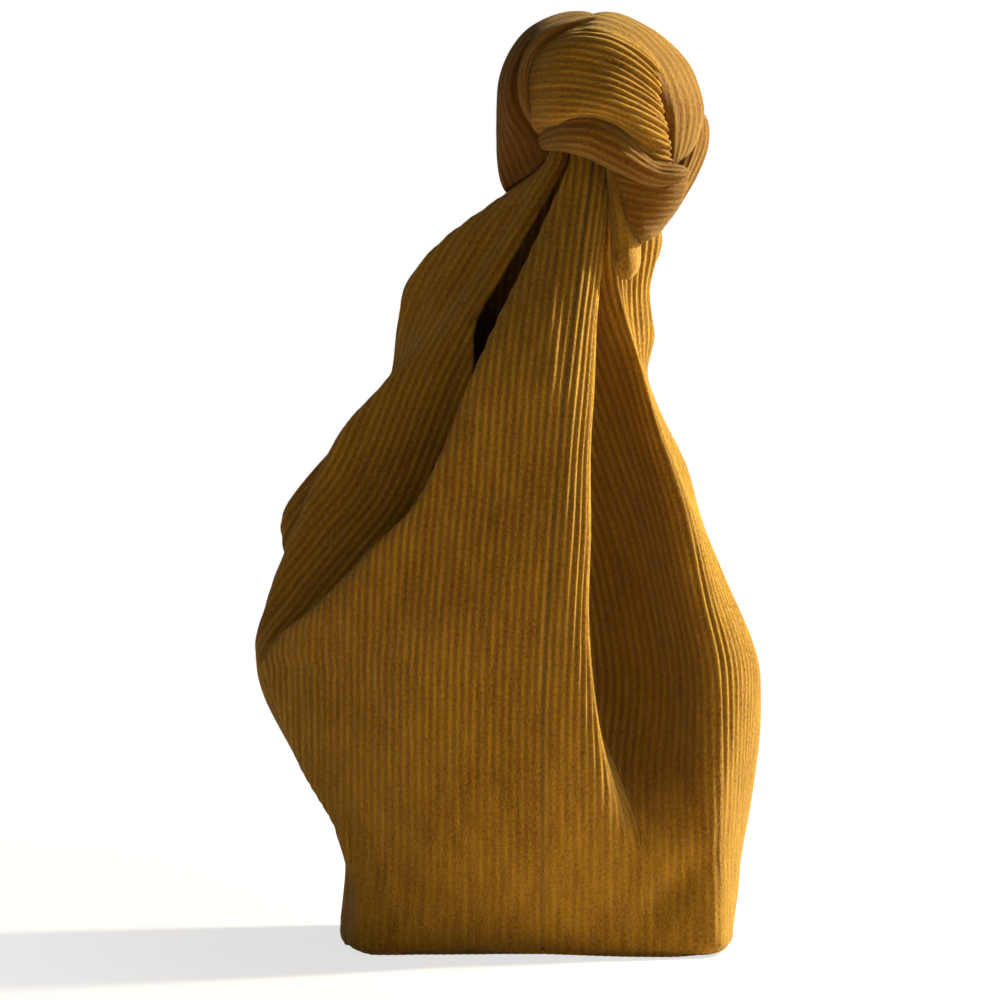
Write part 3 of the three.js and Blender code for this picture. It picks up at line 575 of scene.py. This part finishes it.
def corduroy(name, colours, floor, rise, foot=1.0, shade=0.0, painted_shade_heights=None, spared=False):
    """Pile of three colours: floor and rise set its tone, foot the contrast there, shade how much painted
    shade darkens it.
    """
    dark, mid, light = colours
    material, tree = new_look(name)
    uv = new_node(tree, "ShaderNodeUVMap", uv_map="Cloth").outputs[0]
    wale, along = new_node(tree, "ShaderNodeSeparateXYZ", {0: uv}).outputs[:2]
    turn = maths(tree, "MULTIPLY", wale, 2 * math.pi)
    # Tops of the wales lighter and grooves darker: partly the pile's own colour, partly painted light on
    # the tops and painted shade in the grooves
    pile = maths(tree, "SUBTRACT", 0.5, maths(tree, "MULTIPLY", maths(tree, "COSINE", turn), 0.5))
    nap = noise(tree, uv, *NAP)
    streak = noise(tree, uv, *STREAK)
    fibre = noise(tree, uv, *FIBRE)
    # Towards the foot the wales stand out less, so that they hardly differ from the ground between them
    faded_rise = ranged(tree, along, 0.0, FADE_HEIGHT / PITCH, rise * foot, rise, "SMOOTHSTEP")
    over_mean = maths(tree, "SUBTRACT", maths(tree, "POWER", pile, PILE_TOP), PILE_MEAN)
    stands = maths(tree, "ADD", floor + PILE_MEAN * rise, maths(tree, "MULTIPLY", faded_rise, over_mean))
    tone = weighted(tree, (nap, 0.25), (streak, 0.35), (fibre, 0.4))
    tone = maths(tree, "MULTIPLY", tone, stands, clamp=True)
    colour = mixed(tree, tone, mixed(tree, fibre, dark, mid), light)
    # Painted shade: the colour is darkened towards the dark colour, over the given heights if any, and not
    # on the wales beside the corner that stay in the light
    if shade:
        share = shade
        if painted_shade_heights:
            low, high = painted_shade_heights
            share = ranged(tree, along, low / PITCH, high / PITCH, 0.0, shade, "SMOOTHSTEP")
        if spared:
            aside = ranged(tree, maths(tree, "ABSOLUTE", wale), *SPARED, kind="SMOOTHSTEP")
            share = maths(tree, "MULTIPLY", share, aside)
        colour = mixed(tree, share, colour, dark)
    height = weighted(tree, (fibre, 0.5), (streak, 0.2))
    bump = new_node(tree, "ShaderNodeBump", {"Height": height, "Strength": 0.8, "Distance": 0.001})
    rough = maths(tree, "ADD", 0.6, maths(tree, "MULTIPLY", fibre, 0.25))
    shader = new_node(tree, "ShaderNodeBsdfPrincipled",
                      {"Base Color": colour, "Roughness": rough, "Normal": bump.outputs[0],
                       "Specular IOR Level": 0.1, "Sheen Weight": 0.3, "Sheen Roughness": 0.35,
                       "Sheen Tint": SHEEN_TINT})
    new_node(tree, "ShaderNodeOutputMaterial", {"Surface": shader.outputs[0]})
    return material


def plain_cloth(name, dark, light):
    """Fine even weave of two colours."""
    material, tree = new_look(name)
    place = new_node(tree, "ShaderNodeTexCoord").outputs["Object"]
    inputs = {"Vector": place, "Scale": 900.0, "Detail": 3.0}
    weave = new_node(tree, "ShaderNodeTexNoise", inputs).outputs[0]
    bump = new_node(tree, "ShaderNodeBump", {"Height": weave, "Strength": 0.3, "Distance": 0.0003})
    shader = new_node(tree, "ShaderNodeBsdfPrincipled",
                      {"Base Color": mixed(tree, weave, dark, light), "Roughness": 0.85,
                       "Normal": bump.outputs[0], "Specular IOR Level": 0.2})
    new_node(tree, "ShaderNodeOutputMaterial", {"Surface": shader.outputs[0]})
    return material


def linear(r, g, b):
    """Linear colour from sRGB values of 0 to 255."""
    shares = [c / 255 for c in (r, g, b)]
    return tuple(s / 12.92 if s <= 0.04045 else ((s + 0.055) / 1.055) ** 2.4 for s in shares) + (1.0,)


COLOURS = linear(86, 50, 4), linear(121, 77, 10), linear(190, 144, 42)
# The knot's colours: the body's, a little darker and redder, for the hue of painted shade
KNOT_COLOURS = linear(84, 43, 4), linear(119, 71, 11), linear(190, 142, 43)
MUSTARD = corduroy("corduroy", COLOURS, floor=0.42, rise=0.68, foot=0.3)
# The right hollow's cloth is darkened with painted shade above its foot, except on the wales beside the
# corner
PANEL_LOOKS = {
    "right_hollow_cloth": corduroy("hollow_corduroy_painted_shade", COLOURS, floor=0.42, rise=0.68, foot=0.3, shade=0.55,
                                   painted_shade_heights=(34.0, 76.0), spared=True),
}
# Lighter and darker copies of the cloth for the knot: painted shade on most strips, the roll and the lobe,
# painted light on the crown
KNOT_MUSTARD_PAINTED_SHADE = corduroy("knot_corduroy_painted_shade", KNOT_COLOURS, floor=0.45, rise=0.55, shade=0.45)
STRIP_LOOKS = {
    "knot_crown": corduroy("crown_corduroy_painted_light", KNOT_COLOURS, floor=0.70, rise=0.6),
    "left_roll": corduroy("roll_corduroy_painted_shade", KNOT_COLOURS, floor=0.45, rise=0.55, shade=0.75),
    "right_lobe": corduroy("lobe_corduroy_painted_shade", COLOURS, floor=0.45, rise=0.55, shade=0.45),
}
LINING_CLOTH = plain_cloth("lining", linear(60, 42, 20), linear(92, 66, 32))
BOARD_LOOK = plain_cloth("board", linear(96, 82, 62), linear(124, 108, 84))


def declare(node):
    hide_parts(node)


# Body panels, whose soft hand is in millimetres
def ripple(x, y, z):
    """Long and short ripples over the body, fading out at the foot and under the tie."""
    long_waves = 0.7 * np.sin(x / 17 + 1.3 * np.sin(z / 41)) * np.sin(z / 29 + y / 23)
    short_waves = 0.35 * np.sin(x / 7.3 + z / 19 + 2) * np.sin(z / 13 - y / 11)
    return (long_waves + short_waves) * between(z, (0, 25), (230, 300))


def slanting_dent(x, z):
    """The dent at the foot of the right front, which slants up to the corner."""
    deep = 5.0
    right, up = x - 55, z - 27
    return deep * hump(right - up, 10) * hump(right + up, 26)


def lit_swells(x, z):
    """A small swell and an upright ridge on the front, where the sun catches the cloth."""
    small = hump(x, 7) * hump(z - 226, 7)
    ridge = 0.8 * hump(x - 6.5, 2.4) * between(z, (205, 225), (262, 285))
    return small + ridge


def corner_edge(x, y, z):
    """The soft edge along the lower left corner, which leans out as it rises."""
    off = x + 69.5 + 7.5 * smooth(z, 24, 46)
    return 1.4 * hump(off, 2.6) * between(z, (8, 22), (44, 58)) * smooth(-y, 20, 30)


def settled(grid):
    """The cloth with its soft hand."""
    x, y, z = grid[..., 0], grid[..., 1], grid[..., 2]
    front = smooth(-y, 25, 38)
    inwards = ripple(x, y, z) + (slanting_dent(x, z) - lit_swells(x, z)) * front - corner_edge(x, y, z)
    return grid - normals_of(grid) * inwards[..., None]


def lift(x, y):
    """How far the foot of the front edge lifts off the ground, in soft waves."""
    left = 1.62 * (1 - smooth(x, -20, 47))
    middle = 1.53 * hump(x + 24, 13)
    right = 1.8 * smooth(x, 52, 78)
    left_corner = 0.675 * smooth(-x, 60, 76)
    return (left + middle + right + left_corner) * smooth(-y, 10, 34)


def lifted(grid):
    """The panels' foot lifts with the edge and turns under."""
    x, y, z = grid[..., 0], grid[..., 1], grid[..., 2]
    turned = 1.8 * (1 - smooth(z, 0, 5)) ** 2
    return np.stack([
        x - np.sign(x) * turned * smooth(np.abs(x), 40, 72),
        y - np.sign(y) * turned * smooth(np.abs(y), 12, 36),
        z + lift(x, y) * (1 - smooth(z, 0, 45)),
    ], -1)


def over_rails(rails):
    return curve(np.array([rail(name, HEIGHTS) for name in rails]), SPAN)


def column_of(rails, name):
    """The column of a panel's grid that lies on a rail."""
    return (rails.index(name) - 1) * SPAN


def cloths_of(node):
    """The cloths of a panel: name, rails, the rail that its wales run along and its creased edges."""
    rails, reference, seams = PANELS[node]
    if node not in SPLIT:
        return [(node + "_cloth", rails, reference, seams)]
    second, meeting, second_reference = SPLIT[node]
    at = rails.index(meeting)
    return [(node + "_cloth", rails[at - 1:], reference, seams),
            (second, rails[:at + 2], second_reference, (False, False))]


def panel_ribs(name, rails, u):
    """Depth of a panel's grooves, which are shallow at the foot."""
    ribs = RIB * (0.2 + 0.25 * smooth(HEIGHTS, 0, 12) + 0.55 * smooth(HEIGHTS, 30, 130)) * np.ones(u.shape)
    if name in SHARPER:
        line, more, reach = SHARPER[name]
        off = u - u[column_of(rails, line)]
        ribs = ribs + more * hump(off, reach) * smooth(HEIGHTS, 50, 100)
    return ribs


def panel_cloth(node, name, rails, reference, seams):
    drawn = over_rails(rails)
    u = distance_field(drawn, column_of(rails, reference)) + PHASE.get(name, 0)
    grid = settled(lifted(drawn))
    piece = ribbed(name, grid, u, HEIGHTS, grid - normals_of(grid) * CLOTH,
                   PANEL_LOOKS.get(name, MUSTARD), panel_ribs(name, rails, u), seams)
    declare(node)
    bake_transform(piece)


def panel_lining(node, rails):
    grid = settled(lifted(over_rails(rails)))
    inwards = -normals_of(grid)
    lined = (HEIGHTS > LINING_FOOT) & (HEIGHTS <= LINING_TOP)
    outer, inner = ((grid + inwards * deep)[:, lined][::LINING_EVERY]
                    for deep in (CLOTH + LINING_GAP, CLOTH + LINING_GAP + LINING))
    count = outer.shape[0] * outer.shape[1]
    number = np.arange(count).reshape(outer.shape[:2])
    faces, flats = sheet_faces(number, number + count, 1)
    points = np.concatenate([outer.reshape(-1, 3), inner.reshape(-1, 3)])
    lining = node.replace("panel", "lining")
    piece = build(lining + "_cloth", points, points[:, ::2], faces, flats, LINING_CLOTH)
    declare(lining)
    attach(piece, "bag")


for panel in PANELS:
    for cloth in cloths_of(panel):
        panel_cloth(panel, *cloth)
    panel_lining(panel, PANELS[panel][0])


# Base: the cloth under the bag, with the board and the lining's floor above it
def base_cloth():
    off_ground = 0.1
    foot = np.array([rail(name, np.array([0.0]))[0] for name in RAILS if name != "hemLeft"])
    foot = curve(np.concatenate([foot[-1:], foot, foot[:2]]), FOOT_STEPS)
    deep = np.linspace(foot[:, 1].min() + FOOT_INSET, foot[:, 1].max() - FOOT_INSET, BASE_ROWS)
    grid = np.zeros((BASE_COLUMNS, BASE_ROWS, 3))
    for j, y in enumerate(deep):
        cross = [a[0] + (b[0] - a[0]) * (y - a[1]) / (b[1] - a[1]) for a, b in zip(foot, foot[1:])
                 if (a[1] - y) * (b[1] - y) <= 0 and a[1] != b[1]]
        grid[:, j, 0] = np.linspace(min(cross) + FOOT_INSET, max(cross) - FOOT_INSET, BASE_COLUMNS)
        grid[:, j, 1] = y
    from_rim = np.linalg.norm(grid[:, :, None, :2] - foot[:, :2], axis=-1).min(2) - FOOT_INSET
    grid[..., 2] = off_ground + lift(grid[..., 0], grid[..., 1]) * (1 - smooth(from_rim, 0, 5))
    back = grid + [0, 0, BASE_CLOTH]
    piece = ribbed("base_panel_cloth", grid, grid[..., 0], deep, back, MUSTARD, BASE_RIB)
    declare("base_panel")
    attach(piece, "bag")


base_cloth()
for kept, look in (("base_board", BOARD_LOOK), ("base_lining", LINING_CLOTH)):
    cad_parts[kept].data.materials.clear()
    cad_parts[kept].data.materials.append(look)


# Knot
def strip_grid(lines):
    """Grid over the lines of a strip, with its outer side away from the middle of the knot."""
    lines = np.array([evenly(curve(line, STRIP_STEPS, True), ROWS) for line in lines])
    grid = curve(lines, STRIP_STEPS, True)
    grid = np.stack([evenly(grid[:, j], COLUMNS) for j in range(ROWS)], 1)
    centre = COLUMNS // 2, ROWS // 2
    if (normals_of(grid)[centre] * (grid[centre] - KNOT_MID)).sum() < 0:
        grid = grid[::-1]
    return grid + NECK


def rounded(share, size, fold):
    """How open a fold is across its size: 1 in the middle, closing in a round edge at both ends."""
    per_fold = 1.5
    least = 3
    sharp = max(per_fold * size / fold, least)
    return np.sqrt(np.maximum(1 - np.abs(2 * share - 1) ** sharp, 0))


def strip_ribs(name, way):
    """Depth of a strip's grooves, which deepen towards the crown's right end."""
    if name == "knot_crown":
        return KNOT_RIB * (0.3 + 1.2 * smooth(way, 0.2, 0.55) + 1.1 * smooth(way, 0.7, 0.97))
    return KNOT_RIB * PLAINER.get(name, 1)


def strip_cloth(name, lines):
    """A strip of the knot as a folded sheet, padded between its two faces."""
    apart = 0.05
    grid = strip_grid(lines)
    share = np.linspace(0, 1, COLUMNS)[:, None] * np.ones(ROWS)
    way = np.linspace(0, 1, ROWS) * np.ones((COLUMNS, 1))
    width = float(lengths(grid, 0).mean())
    length = running(grid[COLUMNS // 2])
    fold = FOLD[name]
    puff = rounded(share, width, fold) * rounded(way, length[-1], fold)
    skin = normals_of(grid)
    middle = grid - skin * (fold / 2)
    if name == "knot_crown":
        ruffle = RUFFLE * smooth(way, 0.66, 0.9) * np.cos(2 * math.pi * RUFFLES * share)
        middle = middle + skin * ruffle[..., None]
    outer = middle + skin * (puff * fold / 2)[..., None]
    inner = middle - skin * (puff * fold / 2 + apart)[..., None]
    wales = WALES.get(name, max(round(width / KNOT_PITCH), 2))
    piece = ribbed(name + "_cloth", outer, share * wales * PITCH, length, inner,
                   STRIP_LOOKS.get(name, KNOT_MUSTARD_PAINTED_SHADE), strip_ribs(name, way))
    declare(name)
    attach(piece, "knot")


for strip, strip_lines in STRIPS.items():
    strip_cloth(strip, strip_lines)


# Stuffed pieces
def of_node(node):
    """Middle and half size of a CAD node's box, in millimetres."""
    low, high = (np.array(corner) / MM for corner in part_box(node))
    return (low + high) / 2, (high - low) / 2


def core_skin(angle, way):
    """An egg across the knot, a little smaller than its box."""
    mid, half = of_node("knot_core")
    reach = 2 * way - 1
    girth = np.sqrt(1 - reach ** 2)
    egg = np.stack([reach, girth * np.sin(angle), girth * np.cos(angle)], -1)
    return mid + half * CORE_SHARE * egg


def neck_skin(angle, way):
    """The bundle of strap roots, with folds round it."""
    mid, half = of_node("gathered_neck")
    girth = 0.9 + 0.1 * np.cos(NECK_FOLDS * angle)
    return mid + half * np.stack([girth * np.cos(angle), girth * np.sin(angle), 2 * way - 1], -1)


def tail_skin(angle, way):
    """The strap's end, rolled up to a blunt tip, with the roll's free edge down one side."""
    line = curve(TAIL_LINE, TAIL_STEPS, True) + NECK
    line = read_along(line, np.linspace(0, 1, len(line)), way[0])
    half = of_node("strap_tail")[1]
    girth = half[0] * (0.58 + 0.16 * smooth(way, 0, 0.6))
    tip = np.sqrt(np.maximum(1 - smooth(way, 0.82, 1.0) ** 2, 0.004))
    from_edge = (angle + 0.9 + math.pi) % (2 * math.pi) - math.pi
    groove = 1 - 0.2 * hump(from_edge, 0.28)
    lumps = 1 + 0.04 * np.sin(5 * angle) * smooth(way, 0.6, 0.95)
    size = girth * tip * groove * lumps
    return line + np.stack([size * np.cos(angle), size * np.sin(angle), 0 * angle], -1)


def stuffed(node, skin, stations):
    """A stuffed piece with wales along it: skin(angle, way) gives its points from end to end."""
    angle = np.linspace(0, -2 * math.pi, AROUND)[:, None] * np.ones(len(stations))
    grid = skin(angle, stations * np.ones((AROUND, 1)))
    wales = max(round(float(lengths(grid, 0).max()) / PITCH), 6)
    u = np.linspace(0, wales * PITCH, AROUND)[:, None] * np.ones(len(stations))
    back = grid - normals_of(grid) * CLOTH
    piece = ribbed(node + "_cloth", grid, u, running(grid[AROUND // 4]), back, MUSTARD)
    declare(node)
    return piece


core_ways = 0.5 - 0.5 * np.cos(np.linspace(CORE_END, 1 - CORE_END, CORE_ROWS) * math.pi)
core = stuffed("knot_core", core_skin, core_ways)
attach(core, "knot")
neck = stuffed("gathered_neck", neck_skin, np.linspace(0, 1, NECK_ROWS))
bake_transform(neck)
tail_ways = np.sin(np.linspace(0, math.pi / 2, TAIL_ROWS))
tail = stuffed("strap_tail", tail_skin, tail_ways)
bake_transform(tail)


# Floor, light and camera, in metres
FLOOR_HALF = 6.0
FLOOR_COLOUR = (0.8, 0.64, 0.5, 1)
WHITE = (1, 1, 1, 1)
# Near the object the floor shows its shadow, and further off it is white: two distances and two shares
PAPER = (0.12, 0.5, 0.72, 1.0)
# The room is lighter on the right: two directions across and the light's strengths there
ROOM = (-0.45, 0.75, 0.06, 0.3)
ROOM_COLOUR = (1.0, 0.97, 0.93, 1)
LENS = 180
SENSOR = 36
CAMERA_AIM = Vector((-0.0144, 0, 0.1776))
CAMERA_AWAY = 2.0
CAMERA_TILT = math.radians(4)


def seen_rays(tree):
    """1 for rays that show the white backdrop: from the camera, by reflection or through the object."""
    ray = new_node(tree, "ShaderNodeLightPath").outputs
    passed_on = maths(tree, "MAXIMUM", ray["Is Glossy Ray"], ray["Is Transmission Ray"])
    return maths(tree, "MAXIMUM", ray["Is Camera Ray"], passed_on)


def floor_look():
    """White paper: it keeps a soft shadow round the object and is plain white further off."""
    material, tree = new_look("floor")
    place = new_node(tree, "ShaderNodeTexCoord").outputs["Object"]
    far = new_node(tree, "ShaderNodeVectorMath", {0: place}, operation="LENGTH").outputs["Value"]
    share = maths(tree, "MULTIPLY", seen_rays(tree), ranged(tree, far, *PAPER))
    matt = new_node(tree, "ShaderNodeBsdfDiffuse", {"Color": FLOOR_COLOUR})
    glow = new_node(tree, "ShaderNodeEmission", {"Color": WHITE, "Strength": 1.0})
    mix = new_node(tree, "ShaderNodeMixShader", {0: share, 1: matt.outputs[0], 2: glow.outputs[0]})
    new_node(tree, "ShaderNodeOutputMaterial", {"Surface": mix.outputs[0]})
    return material


def add_floor():
    mesh = bpy.data.meshes.new("floor")
    corners = [(x * FLOOR_HALF, y * FLOOR_HALF, 0) for x, y in ((-1, -1), (1, -1), (1, 1), (-1, 1))]
    mesh.from_pydata(corners, [], [(0, 1, 2, 3)])
    mesh.materials.append(floor_look())
    floor = bpy.data.objects.new("floor", mesh)
    scene.collection.objects.link(floor)


def add_room():
    world = bpy.data.worlds.new("studio")
    scene.world = world
    world.use_nodes = True
    tree = world.node_tree
    tree.nodes.clear()
    direction = new_node(tree, "ShaderNodeTexCoord").outputs["Generated"]
    across = new_node(tree, "ShaderNodeSeparateXYZ", {0: direction}).outputs[0]
    strength = ranged(tree, across, *ROOM)
    room = new_node(tree, "ShaderNodeBackground", {"Color": ROOM_COLOUR, "Strength": strength})
    white = new_node(tree, "ShaderNodeBackground", {"Color": WHITE, "Strength": 1.0})
    seen = seen_rays(tree)
    mix = new_node(tree, "ShaderNodeMixShader", {0: seen, 1: room.outputs[0], 2: white.outputs[0]})
    new_node(tree, "ShaderNodeOutputWorld", {"Surface": mix.outputs[0]})


def towards(place, aim):
    """Rotation of a lamp or camera at a place that looks at an aim."""
    return (Vector(aim) - Vector(place)).to_track_quat("-Z", "Y").to_euler()


def add_lamp(name, place, aim, size, power, colour):
    data = bpy.data.lights.new(name, "AREA")
    data.shape = "DISK"
    data.size = size
    data.energy = power
    data.color = colour
    lamp = bpy.data.objects.new(name, data)
    lamp.location = place
    lamp.rotation_euler = towards(place, aim)
    scene.collection.objects.link(lamp)


def add_camera():
    data = bpy.data.cameras.new("camera")
    data.lens = LENS
    data.sensor_width = SENSOR
    camera = bpy.data.objects.new("camera", data)
    away = Vector((0, -math.cos(CAMERA_TILT), math.sin(CAMERA_TILT)))
    camera.location = CAMERA_AIM + CAMERA_AWAY * away
    camera.rotation_euler = towards(camera.location, CAMERA_AIM)
    scene.collection.objects.link(camera)
    scene.camera = camera


add_floor()
add_room()
add_lamp("key", place=(1.4, 0.34, 1.1), aim=(0, 0, 0.2), size=0.2, power=126, colour=(1.0, 0.99, 0.84))
add_lamp("fill", place=(0.9, -1.7, 0.7), aim=(0, 0, 0.18), size=1.2, power=2, colour=(1.0, 0.96, 0.9))
add_camera()
